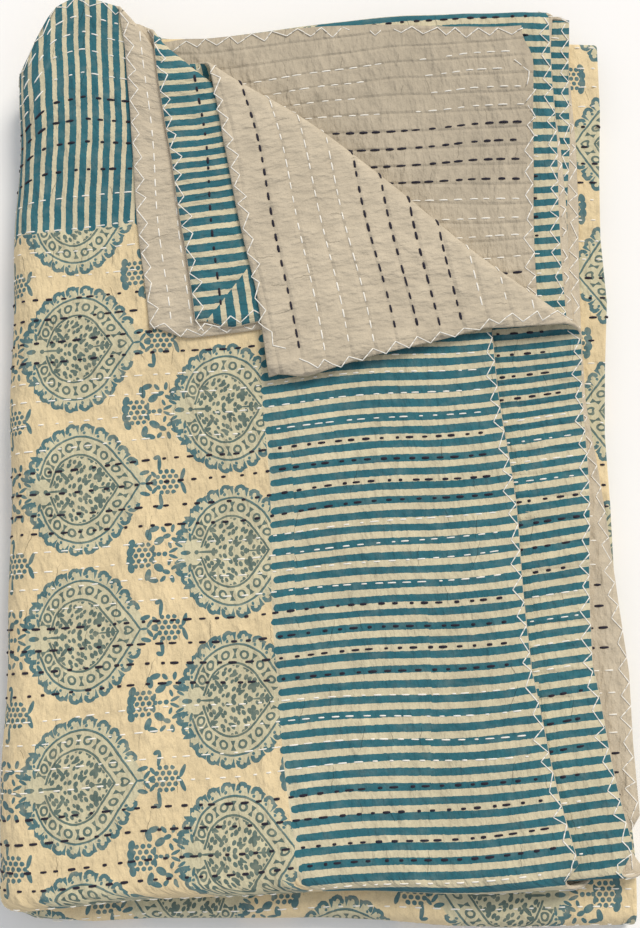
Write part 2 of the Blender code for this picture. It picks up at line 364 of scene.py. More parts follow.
def row_places(z1, start, end, extra=0.0):
    """Places of the grid rows along v, for a column at height z1 after the first fold."""
    r2 = z1
    first = z1 + 2 * PITCH
    second = 2 * PITCH - z1
    front = FOLD_3 - extra
    back = 2 * FOLD_2 + math.pi * r2 - FOLD_3 + extra
    rows = steps(start, front - math.pi * first, ALONG[0])
    rows += steps(front - math.pi * first, front, ROUND_3)
    rows += steps(front, front + FOOT, FOOT_CELLS)
    rows += steps(front + FOOT, FOLD_2, ALONG[1])
    rows += steps(FOLD_2, FOLD_2 + math.pi * r2, ROUND_2)
    rows += steps(FOLD_2 + math.pi * r2, back - FOOT, ALONG[2])
    rows += steps(back - FOOT, back, FOOT_CELLS)
    rows += steps(back, back + math.pi * second, ROUND_3)
    rows += steps(back + math.pi * second, end, ALONG[3])
    return rows + [end]


def fold_4_places(u, v):
    """Distance along -x at which the bend of fold 4 starts and ends, for rows that pass (u, v)."""
    p, _ = fold_1_to_3(np.column_stack([np.full(len(v), u), v]))
    line = FOLD_4 - (p[:, 1] + FOLD_3 / 2) * math.tan(FOLD_4_TILT)
    return line - math.pi * p[:, 2] / math.cos(FOLD_4_TILT), line


def grid():
    """Places (u, v) of the whole grid, its columns and rows gathered where the folds bend."""
    r1 = PITCH / 2
    arc = math.pi * r1
    low = np.array(row_places(1.5 * PITCH, 0.0, LENGTH))
    high = np.array(row_places(0.5 * PITCH, 0.0, LENGTH))
    low_a, low_b = fold_4_places(WIDTH / 8, low)
    high_a, high_b = fold_4_places(WIDTH * 7 / 8, high)
    ends = [
        (right_hem(low), ACROSS[0]),
        (low_a, ROUND_4),
        (low_b, ACROSS[1]),
        (np.full(len(low), FOLD_1 - arc / 2), ROUND_1),
        (np.full(len(low), FOLD_1 + arc / 2), ACROSS[2]),
        (WIDTH - high_b, ROUND_4),
        (WIDTH - high_a, ACROSS[3]),
        (left_hem(high), 0),
    ]
    columns = []
    for (a, count), (b, _) in zip(ends[:-1], ends[1:]):
        columns += [a + (b - a) * k / count for k in range(count)]
    u = np.array(columns + [ends[-1][0]])
    bend = np.clip((u[:, 0] - (FOLD_1 - arc / 2)) / r1, 0.0, math.pi)
    x = -np.minimum(u[:, 0], WIDTH - u[:, 0])
    height = PITCH + r1 * np.cos(bend)
    v = np.array([row_places(*column) for column in zip(height, top_hem(u[:, 0]), end_hem(u[:, 0]), lift(x))])
    return u, v


# %% Flat mesh cut along the corner's bends
def in_panel(face, u_sign, v_sign):
    """Whether a flat face lies in the corner panel on that side of the cloth."""
    c = face.calc_center_median()
    u = c.x if u_sign < 0 else WIDTH - c.x
    v = c.y if v_sign < 0 else LENGTH - c.y
    return u < FOLD_4 - 18 * math.pi * MM and v < FOLD_3 - 30 * MM


def cut_corner(bm, name, u_sign, v_sign):
    """Cuts the flat grid along the bends of one layer's turned-back corner."""
    probe = np.array([[WIDTH / 12 if u_sign < 0 else WIDTH * 11 / 12, FOLD_3 / 6]])
    if v_sign > 0:
        probe[0, 1] = LENGTH - FOLD_3 / 6
    p, _ = fold_4(*fold_1_to_3(probe))
    on_line, facing = flap_line(name)
    arc = math.pi * (16 * PITCH - layer_height(name))
    normal = (u_sign * math.cos(facing), v_sign * math.sin(facing), 0.0)
    for k in range(ROUND_FLAP + 1):
        d = arc * k / ROUND_FLAP
        x = on_line[0] + d * math.cos(facing)
        y = on_line[1] + d * math.sin(facing)
        spot = (probe[0, 0] + u_sign * (x - p[0, 0]), probe[0, 1] + v_sign * (y - p[0, 1]), 0.0)
        panel = [f for f in bm.faces if in_panel(f, u_sign, v_sign)]
        parts = panel + list({e for f in panel for e in f.edges}) + list({q for f in panel for q in f.verts})
        bmesh.ops.bisect_plane(bm, geom=parts, dist=0.2 * MM, plane_co=spot, plane_no=normal)


def flat_mesh():
    """The flat cloth as triangles over (u, v): points, faces and the edges of its rim."""
    u, v = grid()
    bm = bmesh.new()
    verts = [[bm.verts.new((a, b, 0.0)) for a, b in zip(*line)] for line in zip(u, v)]
    for i in range(len(verts) - 1):
        for j in range(len(verts[0]) - 1):
            bm.faces.new((verts[i][j], verts[i + 1][j], verts[i + 1][j + 1], verts[i][j + 1]))
    cut_corner(bm, "A", -1, -1)
    cut_corner(bm, "B", 1, -1)
    cut_corner(bm, "C", 1, 1)
    bmesh.ops.triangulate(bm, faces=bm.faces[:])
    bm.verts.index_update()
    uv = np.array([(q.co.x, q.co.y) for q in bm.verts])
    faces = [[q.index for q in f.verts] for f in bm.faces]
    loops = [e.link_loops[0] for e in bm.edges if e.is_boundary]
    rim = [(q.vert.index, q.link_loop_next.vert.index) for q in loops]
    bm.free()
    return uv, faces, rim


flat_uv, flat_faces, flat_rim = flat_mesh()
print("flat cloth:", len(flat_uv), "points,", len(flat_faces), "triangles,", len(flat_rim), "rim edges")

# %% [markdown]
# ## Relief of the quilting
# Running stitches pull three soft layers together, so the face rises between the rows and puckers along
# them, and the turned hem is a band about 8 mm wide, two cloths thick. The relief only ever stands out of
# the face, a fraction of a millimetre where another layer lies over it, so it stays clear of that layer.

# %% Relief
# The stitch rows of the last quarter of the cloth, in mm from its end: the first row and the next ones
LAST_ROW_START = 3.6
LAST_ROW_PITCH = 12.1
HEM_BAND = 8 * MM
HEM_RISE = 0.22 * MM
# How many times the plain relief the cloth may rise: under other layers, between the top ones, and open
COVERED = 0.4
BETWEEN = 1.0
OPEN_PRINT = 1.9
OPEN_FLAP = 1.5
OPEN_BACK = 2.4


def hem_distance(uv):
    """Distance of each point from the nearest hem."""
    u = uv[:, 0]
    v = uv[:, 1]
    du = np.minimum(u - right_hem(v), left_hem(v) - u)
    dv = np.minimum(v - top_hem(u), end_hem(u) - v)
    return np.minimum(du, dv)


def crinkle(uv, across, along, seed):
    """Soft noise from 0 to 1, with its own grain across and along the cloth in mm."""
    spots = uv / MM / np.array([across, along])
    return np.array([0.5 + 0.5 * noise.noise(Vector((a, b, seed))) for a, b in spots])


def openness(uv, side):
    """How many times the plain relief each place may rise, and where the topmost beige back lies."""
    p, _ = fold_4(*fold_1_to_3(uv))
    on_line, facing = flap_line("C")
    past = (p[:, :2] - np.array(on_line)) @ np.array([math.cos(facing), math.sin(facing)])
    height = p[:, 2]
    near = 0.3 * PITCH
    face = np.broadcast_to(np.asarray(side) > 0, height.shape)
    times = np.where(height > layer_height("D") + near, BETWEEN, COVERED)
    times = np.where((height > layer_height("B") + near) & face, OPEN_PRINT, times)
    flap = (np.abs(height - layer_height("C")) < near) & ~face
    times = np.where(flap, COVERED + OPEN_FLAP * smooth((past - 22 * MM) / (20 * MM)), times)
    below = (np.abs(height - layer_height("D")) < near) & ~face
    return np.where(below, COVERED + OPEN_BACK * smooth((past - 4 * MM) / (30 * MM)), times), below


def relief(uv, side):
    """How far the skin stands out of the plain sheet, in metres."""
    rise = 0.34 * crinkle(uv, 34, 60, 3.1) + 0.30 * crinkle(uv, 15, 26, 7.7) * crinkle(uv, 90, 70, 1.3)
    times, below = openness(uv, side)
    # Between the first rows of the beige back that shows, the cloth swells
    down = (LENGTH - uv[:, 1]) / MM
    turn = math.pi * (down - LAST_ROW_START) / LAST_ROW_PITCH
    swell = np.abs(np.sin(turn + 1.2 * crinkle(uv, 60, 200, 5.5)))
    swell = swell * crinkle(uv, 40, 30, 9.2) * (1.0 - smooth((down - 30) / 60))
    band = HEM_RISE * (1.0 - smooth((hem_distance(uv) - HEM_BAND) / (2 * MM)))
    return times * (rise + below * swell) * MM + band


# %% The sheet itself
def rounded_rim(uv, rim):
    """A line of points round the hem, half the cloth's thickness further out."""
    order = np.array(sorted({a for edge in rim for a in edge}))
    step = 0.5 * MM
    u = uv[order, 0]
    v = uv[order, 1]
    d = hem_distance(uv[order])
    out_u = hem_distance(np.column_stack([u + step, v])) - d
    out_v = hem_distance(np.column_stack([u, v + step])) - d
    size = np.maximum(np.hypot(out_u, out_v), 1e-9)
    return order, np.column_stack([u - 0.6 * MM * out_u / size, v - 0.6 * MM * out_v / size])


def sheet_mesh(uv, faces, rim):
    """Closed mesh of the throw, with a map of the flat cloth in units of its length."""
    count = len(uv)
    order, past = rounded_rim(uv, rim)
    place_of = {int(a): k for k, a in enumerate(order)}
    front = folded(uv, 1.0, relief(uv, 1.0))
    back = folded(uv, -1.0, relief(uv, -1.0))
    edge = (folded(past, 1.0) + folded(past, -1.0)) / 2
    points = np.vstack([front, back, edge])
    flat = np.vstack([uv, uv, past])
    solid = faces + [[k + count for k in f[::-1]] for f in faces]
    sides = [0] * len(faces) + [1] * len(faces)
    for a, b in rim:
        c = 2 * count + place_of[a]
        d = 2 * count + place_of[b]
        solid += [[b, a, c, d], [d, c, a + count, b + count]]
        sides += [1, 1]
    mesh = bpy.data.meshes.new("throw_cloth")
    mesh.from_pydata(points.tolist(), [], solid)
    mesh.polygons.foreach_set("material_index", sides)
    mesh.polygons.foreach_set("use_smooth", [True] * len(solid))
    layer = mesh.uv_layers.new(name="cloth")
    corner = np.zeros(len(mesh.loops), dtype=int)
    mesh.loops.foreach_get("vertex_index", corner)
    layer.data.foreach_set("uv", (flat[corner] / LENGTH).astype(np.float32).ravel())
    mesh.update()
    return mesh


cloth = show("throw_cloth", sheet_mesh(flat_uv, flat_faces, flat_rim))
print("cloth:", len(cloth.data.polygons), "faces")

# %% [markdown]
# ## Node helpers
# One function adds a node. A second turns plain arithmetic, written a line at a time, into Math nodes, so
# the block print can be drawn as formulas in millimetres.


# %% Colours, nodes and formulas
def linear(code):
    """Linear colour of an sRGB hex code."""
    parts = [int(code[k : k + 2], 16) / 255 for k in (1, 3, 5)]
    return [c / 12.92 if c <= 0.04045 else ((c + 0.055) / 1.055) ** 2.4 for c in parts] + [1.0]


def add(tree, kind, inputs, **settings):
    """Adds a node with its settings, and gives its inputs values or links."""
    node = tree.nodes.new(kind)
    for name, value in settings.items():
        setattr(node, name, value)
    for key, value in inputs.items():
        if isinstance(value, bpy.types.NodeSocket):
            tree.links.new(value, node.inputs[key])
        else:
            node.inputs[key].default_value = value
    return node


def new_material(name, roughness):
    """A material with its node tree and its shader."""
    material = bpy.data.materials.new(name)
    material.use_nodes = True
    shader = material.node_tree.nodes["Principled BSDF"]
    shader.inputs["Roughness"].default_value = roughness
    return material, material.node_tree, shader


SIGNS = {ast.Add: "ADD", ast.Sub: "SUBTRACT", ast.Mult: "MULTIPLY", ast.Div: "DIVIDE"}
WORDS = {
    "min": "MINIMUM",
    "max": "MAXIMUM",
    "abs": "ABSOLUTE",
    "sqrt": "SQRT",
    "sin": "SINE",
    "cos": "COSINE",
    "angle": "ARCTAN2",
    "floor": "FLOOR",
    "round": "ROUND",
    "more": "GREATER_THAN",
}


def work_out(tree, part, known):
    """Socket or number of one part of a formula."""
    if isinstance(part, ast.Constant):
        return float(part.value)
    if isinstance(part, ast.Name):
        return known[part.id]
    if isinstance(part, ast.UnaryOp):
        return work_out(tree, ast.BinOp(ast.Constant(0.0), ast.Sub(), part.operand), known)
    if isinstance(part, ast.BinOp):
        kind = SIGNS[type(part.op)]
        values = [work_out(tree, part.left, known), work_out(tree, part.right, known)]
    else:
        kind = WORDS[part.func.id]
        values = [work_out(tree, a, known) for a in part.args]
    while len(values) > 2:
        pair = add(tree, "ShaderNodeMath", {0: values.pop(), 1: values.pop()}, operation=kind)
        values.append(pair.outputs[0])
    return add(tree, "ShaderNodeMath", dict(enumerate(values)), operation=kind).outputs[0]


def formulas(tree, text, known):
    """Math nodes for lines of the form name = arithmetic. The names that are known grow as it goes."""
    for line in ast.parse(text).body:
        known[line.targets[0].id] = work_out(tree, line.value, known)
    return known


# %% [markdown]
# ## Block print, the striped border
# The real border is stamped with a small block of stripes again and again. So each block's stripes are a
# little off from the next block's, their edges are ragged where the dye pulled off, and each stripe ends
# in a round tip on the field. Side and end borders meet in a mitre.
# On the two layers whose side border shows, the cloth is pulled up towards its hem, and the stripes with it.

# %% Border formulas, in millimetres of the flat cloth
BORDER = """
stripe_pitch = 8.8
slide = min(max((v - 420) / 160, 0), 1)
low_side = u - 24 + 12 * slide * slide * (3 - 2 * slide)
side_near = min(low_side, 1494 - u)
end_near = min(v + 3, 2303 - v)
is_side = more(end_near - 20, side_near)
wide = 1 + 0.15 * more(762, u)
d = min(side_near, end_near)
on_a = more(388, u) * more(603, v)
on_c = more(u, 1136) * more(v, 1683)
down = v * on_a + (2286 - v) * on_c
lean = 0.09 * min(max((down - 150) / 100, 0), 1) - 0.035 * min(max((down - 290) / 260, 0), 1)
c = wide * u + is_side * (v + lean * max(180 - side_near, 0) * (on_a - on_c) - wide * u)
block_u = floor(u / 83) + 40 * is_side
block_v = floor(v / 104)
stripe_number = round(c / stripe_pitch)
"""

STRIPES = """
across = c + 1.3 * (block_step - 0.5) + 1.9 * (wave - 0.5)
lane = across - stripe_pitch * round(across / stripe_pitch)
past = max(d - 153.2 - 3.4 * stripe_end, 0)
gap = sqrt(lane * lane + past * past)
stripe = more(2.3 + 0.35 * more(300, v) + 1.0 * (ragged - 0.5), gap) * more(160, d)
field = more(d, 157)
"""

# %% [markdown]
# ## Block print, the medallions
# The field repeats one drop-shaped medallion in columns, each column half a step down from the last. The
# medallion is mirrored about its own axis, so one half is drawn: two outlines, a band of rings between
# them, a fringe of curled leaves outside, small leaves within, a bunch of dots at the tip and a crown behind.

# %% Medallion formulas, in millimetres from the widest point, x towards the tip
PLACES = """
column_pitch = 96
row_pitch = 93
half_row = 46.5
x0 = 208.7 - u + 24
column = floor(x0 / column_pitch)
x0 = x0 - column_pitch * column - 24
y0 = v - 281 + 18 * more(v, 650) + half_row * column
y0 = y0 - row_pitch * round(y0 / row_pitch)
other = more(abs(y0), 23.3 + 1.6 * max(40 - x0, 0))
x = x0 - column_pitch * other
y = y0 + half_row * other
y = y - row_pitch * round(y / row_pitch)
"""

OUTLINES = """
x = x + 0.9 * (wobble_x - 0.5)
y = y + 0.9 * (wobble_y - 0.5)
q = abs(y)
r = sqrt(x * x + q * q)
t = angle(q, x)
leaf_out = (0.5 * x + 0.87 * q) / 1.45
leaf_round = (0.87 * x - 0.5 * q) / 0.95
"""

MEDALLION = """
inside = more(outline, r)
line_1 = more(0.72 + 0.5 * (ragged - 0.5), abs(r - outline)) * more(2.70, t)
line_2 = more(0.70 + 0.5 * (ragged - 0.5), abs(r - 0.66 * outline)) * more(2.97, t)
band = 0.83 * outline
m = r - band
ring_turn = 0.4189
ring_s = (t - ring_turn * round(t / ring_turn)) * band
ring = more(0.45 + 0.6 * ragged, abs(sqrt(ring_s * ring_s + m * m) - 2.15)) * more(2.75, t)
bar_s = abs((t - ring_turn * floor(t / ring_turn) - 0.2094) * band)
bar = more(0.35 + 0.4 * abs(m), bar_s) * more(3.1, abs(m)) * more(2.95, t)
leaf_turn = 0.2417
s = (t - leaf_turn * floor(t / leaf_turn) - 0.12085) * (outline + 5)
h = r - outline
hook_x = s - 0.8
hook_y = h - 5.1
hook_r = sqrt(hook_x * hook_x + hook_y * hook_y)
hook = more(0.6 + 1.3 * ragged, abs(hook_r - 2.5)) * more(h + 0.5 * s, 4.9)
seed = more(0.6 + 0.8 * ragged, sqrt((s - 1.7) * (s - 1.7) + (h - 2.6) * (h - 2.6)))
leaf = more(0.26 * (h - 1.5) + 0.8 * (ragged - 0.5), abs(s + 4.2 - 0.2 * h)) * more(7.6, h)
fringe = max(hook, seed, leaf) * more(2.93, t) * more(t, 0.30)
dots = more(0.92 + 0.60 * dot_size, dot_distance * 3.4) * more(0.66 * outline - 1.1, r)
is_tip = more(x, 0)
bunch_x = x + 54 - 112 * is_tip
bunch_r = sqrt(bunch_x * bunch_x + q * q)
even_x = bunch_x - 3.9 * round(bunch_x / 3.9)
even_y = q - 6.75 * round(q / 6.75)
odd_x = bunch_x - 1.95 - 3.9 * round((bunch_x - 1.95) / 3.9)
odd_y = q - 3.375 - 6.75 * round((q - 3.375) / 6.75)
bunch_d = min(sqrt(even_x * even_x + even_y * even_y), sqrt(odd_x * odd_x + odd_y * odd_y))
bunch = more(1.5, bunch_d) * more(8.9, bunch_r)
lines = max(line_1, line_2, ring, bar, dots) * more(h, -60)
motif = max(lines, fringe, bunch, petal)
ground = more(outline + 6, r)
"""

# Outline radius in mm at each angle in degrees from the tip
OUTLINE = [
    (0, 40.2),
    (12, 36.0),
    (30, 33.0),
    (59, 34.3),
    (80, 34.7),
    (105, 32.0),
    (127, 28.7),
    (141, 26.4),
    (155, 25.2),
    (180, 26.0),
]

PETALS = [
    # x, y, turn in degrees, half length, half width
    (42.6, 0.0, 0, 2.4, 0.8),
    (46.2, 3.0, 55, 3.0, 1.2),
    (49.6, 5.2, 130, 2.6, 1.2),
    (49.2, 1.1, 20, 2.2, 1.0),
    (43.6, 6.9, 15, 3.3, 1.5),
    (53.6, 12.0, 84, 4.8, 1.3),
    (52.0, 16.2, 20, 2.3, 1.4),
    (68.2, 4.4, 70, 4.2, 1.4),
    (-61.6, 2.6, 90, 3.2, 2.4),
    (-60.8, 7.8, 75, 3.2, 2.2),
    (-50.2, 12.8, 105, 3.8, 2.0),
    (-47.0, 16.4, 15, 3.5, 1.8),
    (-43.4, 8.6, 35, 3.6, 2.3),
    (-38.6, 11.4, 20, 2.6, 1.5),
    (-43.4, 0.0, 0, 1.6, 1.3),
    (-39.6, 0.0, 0, 1.6, 1.6),
    (-34.2, 2.0, 25, 3.2, 1.1),
    (-23.7, 9.8, 100, 2.8, 1.0),
    (-27.8, 8.4, 125, 2.8, 1.0),
    (-30.8, 5.2, 150, 2.8, 1.0),
    (-23.0, 19.2, 60, 3.4, 1.2),
    (-26.0, 22.0, 130, 2.8, 1.1),
    (-26.5, 0.0, 0, 3.2, 1.6),
    (-33.0, 8.6, 150, 3.0, 1.3),
    (-36.6, 5.4, 110, 2.2, 1.1),
    (-47.2, 3.4, 80, 2.6, 1.2),
    (-30.6, 13.4, 35, 2.8, 1.2),
    (-34.8, 16.2, 80, 2.6, 1.3),
    (-40.8, 15.8, 130, 2.4, 1.3),
    (20.0, 0.0, 0, 6.5, 0.7),
    (12.9, 0.0, 0, 1.3, 1.3),
    (-12.0, 0.0, 0, 6.5, 0.8),
    (-19.4, 0.0, 0, 1.4, 1.4),
    (14.5, 8.2, 60, 3.0, 1.9),
    (2.0, 15.4, 20, 2.8, 1.2),
    (-7.0, 9.0, 130, 4.4, 1.2),
    (-9.6, 14.0, 160, 2.8, 1.2),
    (7.2, 4.6, 30, 2.4, 0.9),
]

# %% [markdown]
# ## Colours
# Teal dye on cream cotton, with the back left plain and beige. The stripes are the strongest, and the fine
# lines of the medallions are greyer, because their block holds less dye. The medallions' own ground was
# stamped first in a greenish cream.

# %% Colours and print finish
COLOURS = {
    "field cream": "#e7d2a7",
    "border cream": "#d6ccac",
    "medallion ground": "#cdc8a8",
    "deep teal": "#2f6470",
    "pale teal": "#3a747c",
    "line teal": "#5a6f69",
    "leaf teal": "#4a7379",
}
BACK = "#cdc0a8"
WHITE_THREAD = "#fbf7ec"
BLACK_THREAD = "#1a1528"
FLOOR = "#fbfaf7"

LAYERS = [
    # result, how much of the second colour, first colour, second colour
    ("cloth", "field", "border cream", "field cream"),
    ("cloth", "ground_ink", "cloth", "medallion ground"),
    ("fine ink", "inside", "leaf teal", "line teal"),
    ("medallions", "motif_ink", "cloth", "fine ink"),
    ("stripe ink", "fade", "deep teal", "pale teal"),
    ("print", "stripe_ink", "medallions", "stripe ink"),
]


def cloth_places(tree):
    """Place on the flat cloth in millimetres, as a vector socket and as its two parts."""
    flat = add(tree, "ShaderNodeUVMap", {}, uv_map="cloth")
    scaled = add(tree, "ShaderNodeVectorMath", {0: flat.outputs[0], 3: LENGTH / MM}, operation="SCALE")
    parts = add(tree, "ShaderNodeSeparateXYZ", {0: scaled.outputs[0]})
    return scaled.outputs[0], parts.outputs[0], parts.outputs[1]


def grain(tree, vector, across, along, detail=2.0):
    """Noise socket with its own grain in mm across and along the cloth."""
    size = add(tree, "ShaderNodeMapping", {"Vector": vector, "Scale": (1 / across, 1 / along, 1.0)})
    made = add(tree, "ShaderNodeTexNoise", {"Vector": size.outputs[0], "Scale": 1.0, "Detail": detail})
    return made.outputs[0]


def stamp_jitter(tree, a, b):
    """Random colour socket that is constant for each whole-number pair."""
    pair = add(tree, "ShaderNodeCombineXYZ", {0: a, 1: b})
    return add(tree, "ShaderNodeTexWhiteNoise", {0: pair.outputs[0]}, noise_dimensions="2D")


def outline_radius(tree, angle):
    """Radius of the medallion's outline in mm, at an angle from its tip."""
    share = add(tree, "ShaderNodeMath", {0: angle, 1: math.pi}, operation="DIVIDE")
    curve = add(tree, "ShaderNodeFloatCurve", {"Value": share.outputs[0]})
    points = curve.mapping.curves[0].points
    while len(points) < len(OUTLINE):
        points.new(0.5, 0.5)
    for point, (degrees, radius) in zip(points, OUTLINE):
        point.location = (degrees / 180, radius / 50)
    curve.mapping.update()
    return add(tree, "ShaderNodeMath", {0: curve.outputs[0], 1: 50.0}, operation="MULTIPLY").outputs[0]


def petals(tree, x, q):
    """1 inside any petal of the table, else 0."""
    spot = add(tree, "ShaderNodeCombineXYZ", {0: x, 1: q})
    nearest = 9.0
    for px, py, turn, long, wide in PETALS:
        place = {"Vector": spot.outputs[0], "Location": (px, py, 0.0)}
        place.update({"Rotation": (0.0, 0.0, math.radians(turn)), "Scale": (long, wide, 1.0)})
        own = add(tree, "ShaderNodeMapping", place, vector_type="TEXTURE")
        reach = add(tree, "ShaderNodeVectorMath", {0: own.outputs[0]}, operation="LENGTH")
        pair = {0: reach.outputs["Value"], 1: nearest}
        nearest = add(tree, "ShaderNodeMath", pair, operation="MINIMUM").outputs[0]
    return add(tree, "ShaderNodeMath", {0: 1.0, 1: nearest}, operation="GREATER_THAN").outputs[0]


def medallion(tree, vector, known):
    """Works out the medallions' ink and ground from the place on the cloth."""
    formulas(tree, PLACES, known)
    known["wobble_x"] = grain(tree, vector, 6.0, 6.0, 1.0)
    known["wobble_y"] = grain(tree, vector, 9.0, 5.0, 1.0)
    formulas(tree, OUTLINES, known)
    known["outline"] = outline_radius(tree, known["t"])
    known["petal"] = petals(tree, known["x"], known["q"])
    # The leaves of the middle slant away from its axis, so their cells are longer that way
    spot = add(tree, "ShaderNodeCombineXYZ", {0: known["leaf_out"], 1: known["leaf_round"]})
    dots = {"Vector": spot.outputs[0], "Scale": 1 / 3.4, "Randomness": 0.6}
    cells = add(tree, "ShaderNodeTexVoronoi", dots, voronoi_dimensions="2D")
    known["dot_distance"] = cells.outputs["Distance"]
    known["dot_size"] = add(tree, "ShaderNodeSeparateColor", {0: cells.outputs["Color"]}).outputs[0]
    formulas(tree, MEDALLION, known)


def print_colour(tree, vector, u, v):
    """Colour socket of the printed face."""
    known = {"u": u, "v": v}
    known["ragged"] = grain(tree, vector, 2.6, 1.7)
    known["wave"] = grain(tree, vector, 46, 19, 1.0)
    formulas(tree, BORDER, known)
    step = stamp_jitter(tree, known["block_u"], known["block_v"])
    known["block_step"] = step.outputs["Value"]
    known["stripe_end"] = stamp_jitter(tree, known["stripe_number"], known["is_side"]).outputs["Value"]
    formulas(tree, STRIPES, known)
    medallion(tree, vector, known)
    known["wear"] = grain(tree, vector, 11, 7, 5.0)
    known["fade"] = grain(tree, vector, 70, 55, 2.0)
    text = """
thin = min(max(1.8 - 1.7 * wear, 0.4), 1)
stripe_ink = stripe * (0.80 + 0.20 * thin)
motif_ink = motif * field * (0.50 + 0.46 * thin)
ground_ink = ground * field * 0.85
"""
    formulas(tree, text, known)
    colours = {name: linear(code) for name, code in COLOURS.items()}
    for result, share, first, second in LAYERS:
        both = {0: known[share], 6: colours[first], 7: colours[second]}
        colours[result] = add(tree, "ShaderNodeMix", both, data_type="RGBA").outputs[2]
    return colours["print"]


# %% [markdown]
# ## Cloth finish
# Plain woven cotton, washed and soft: no shine, a little fuzz, and fine creases that run across the stitch
# rows, where the thread has drawn the layers together. The creases are bump and a slight painted shade in the
# colour, too fine for the mesh. A few hairline creases get a darker line of painted shade, and painted shade
# also darkens the puckers, the valleys along the stitch rows and the first stretch of the beige back that
# shows.

# %% Creases, mottling and painted shade
CREASE_CELLS = """
cell_u = floor(u / 19)
cell_v = floor(v / 23)
"""

# Painted shade: the colour of the first stretch of the beige back that shows, near the end hem, is darkened
# by 15 %, because that stretch lies lower, in shade.
CREASES = """
down = v - 23 * cell_v - 11.5 - 8 * (blue - 0.5)
over = u - 19 * cell_u - 9.5 - 8 * (red - 0.5) - 0.8 * (green - 0.5) * down + 3 * (wander - 0.5)
hair = more(0.26 - 0.022 * abs(down), abs(over)) * more(2.5 + 7 * green, abs(down)) * more(present, 0.70)
from_end = 2282.4 - v + 1.6 * sin(u / 95 + v * 0.031) + 0.8 * sin(u / 38 + v * 0.077)
row_turn = abs(sin(3.14159 * from_end / (12.1 + 3.6 * more(u, 762))))
drawn_in = max(1 - 2.2 * row_turn, 0) * more(v, 1850) * (0.4 + 1.2 * soft)
height = 1.2 * pucker + 0.55 * fine + 0.05 * slub + 1.8 * soft - 0.20 * hair - 0.22 * drawn_in
worn = min(max((v - 2120) / 90, 0), 1) * more(388, u)
shade = (1 - hair_depth * hair) * (1 - 0.15 * worn) * (0.77 + 0.32 * slub) * (0.86 + 0.28 * soft)
shade = shade * (0.86 + 0.28 * pucker) * (0.85 + 0.30 * blotch) * (1 - 0.05 * drawn_in)
"""


# %% Cloth materials
def cloth_material(name, printed):
    """Soft cotton, printed or plain."""
    material, tree, shader = new_material(name, 0.92)
    vector, u, v = cloth_places(tree)
    colour = print_colour(tree, vector, u, v) if printed else linear(BACK)
    known = {
        "pucker": grain(tree, vector, 9.0, 19.0, 2.0),
        "fine": grain(tree, vector, 3.2, 6.5, 2.0),
        "slub": grain(tree, vector, 0.9, 0.9, 2.0),
        "soft": grain(tree, vector, 45.0, 70.0, 2.0),
        "blotch": grain(tree, vector, 5.0, 11.0, 3.0),
        "wander": grain(tree, vector, 7.0, 5.0, 2.0),
        # How dark the painted shade of a hairline crease is, on the print and on the back
        "hair_depth": 0.4 if printed else 0.25,
    }
    known.update({"u": u, "v": v})
    formulas(tree, CREASE_CELLS, known)
    chance = stamp_jitter(tree, known["cell_u"], known["cell_v"])
    known["present"] = chance.outputs["Value"]
    parts = add(tree, "ShaderNodeSeparateColor", {0: chance.outputs["Color"]})
    known.update({"red": parts.outputs[0], "green": parts.outputs[1], "blue": parts.outputs[2]})
    formulas(tree, CREASES, known)
    # The shade factor multiplies the colour. It holds painted light and shade on the puckers, painted shade
    # in the valleys along the stitch rows and in the hairline creases, and painted shade over the first
    # stretch of the beige back. Its slub and blotch parts are the cloth's own mottled tone.
    grey = add(tree, "ShaderNodeCombineXYZ", {0: known["shade"], 1: known["shade"], 2: known["shade"]})
    both = {0: 1.0, 6: colour, 7: grey.outputs[0]}
    shaded = add(tree, "ShaderNodeMix", both, data_type="RGBA", blend_type="MULTIPLY")
    bump = {"Height": known["height"], "Distance": 2.6 * MM, "Strength": 1.0}
    bumped = add(tree, "ShaderNodeBump", bump)
    tree.links.new(shaded.outputs[2], shader.inputs["Base Color"])
    tree.links.new(bumped.outputs[0], shader.inputs["Normal"])
    shader.inputs["Specular IOR Level"].default_value = 0.15
    shader.inputs["Sheen Weight"].default_value = 0.06
    shader.inputs["Sheen Roughness"].default_value = 0.6
    return material


# Printed cotton: matt teal on cream, with the small tonal breaks of a hand-stamped block
printed_cotton = cloth_material("block_printed_cotton", True)
# Plain cotton: the undyed beige of the back, slightly mottled
plain_cotton = cloth_material("undyed_cotton", False)
cloth.data.materials.append(printed_cotton)
cloth.data.materials.append(plain_cotton)
print("print nodes:", len(printed_cotton.node_tree.nodes), "back nodes:", len(plain_cotton.node_tree.nodes))

# %% [markdown]
# ## Running stitches
# Rows of running stitch cross the whole throw, four rows in white and then four in black. The thread dips
# through the cloth and shows as a dash on one face and then on the other. Each dash is one small bent
# thread on a point of its own, placed by a Geometry Nodes tree, and only where nothing lies over it.

# %% Stitch rows
ROW_PITCH = 13.825 * MM
FIRST_ROW = 8.0 * MM
LAST_QUARTER = 2 * FOLD_2 - FOLD_3
LAST_ROW_FAN = 3.6 * MM
LAST_ROWS = 36
# Rows of one colour come in groups of four, and a white group starts at this row from the top hem
GROUP = 4
WHITE_GROUP_START = 17
# The row that is black on one half, and the distance from the top hem within which the white ones stop
BLACK_HALF_ROW = (36 * MM, 50 * MM)
WHITE_STOPS = 64 * MM
FROM_HEM = 4 * MM
SHIFTED_ROWS = (0, 4, 7, 12, 15, 23, 28, 31, 36, 39, 48)
ROW_SHIFTS = (-7, -7.6, -7.6, 9.5, 14, 15, 6.5, 7, 9, 12, 0)
STITCH_PITCH = 9.4 * MM
ROW_MARGIN = 6 * MM
FRONT_STITCH = 4.8 * MM
BACK_STITCH = 6.6 * MM
rng = np.random.default_rng(14)


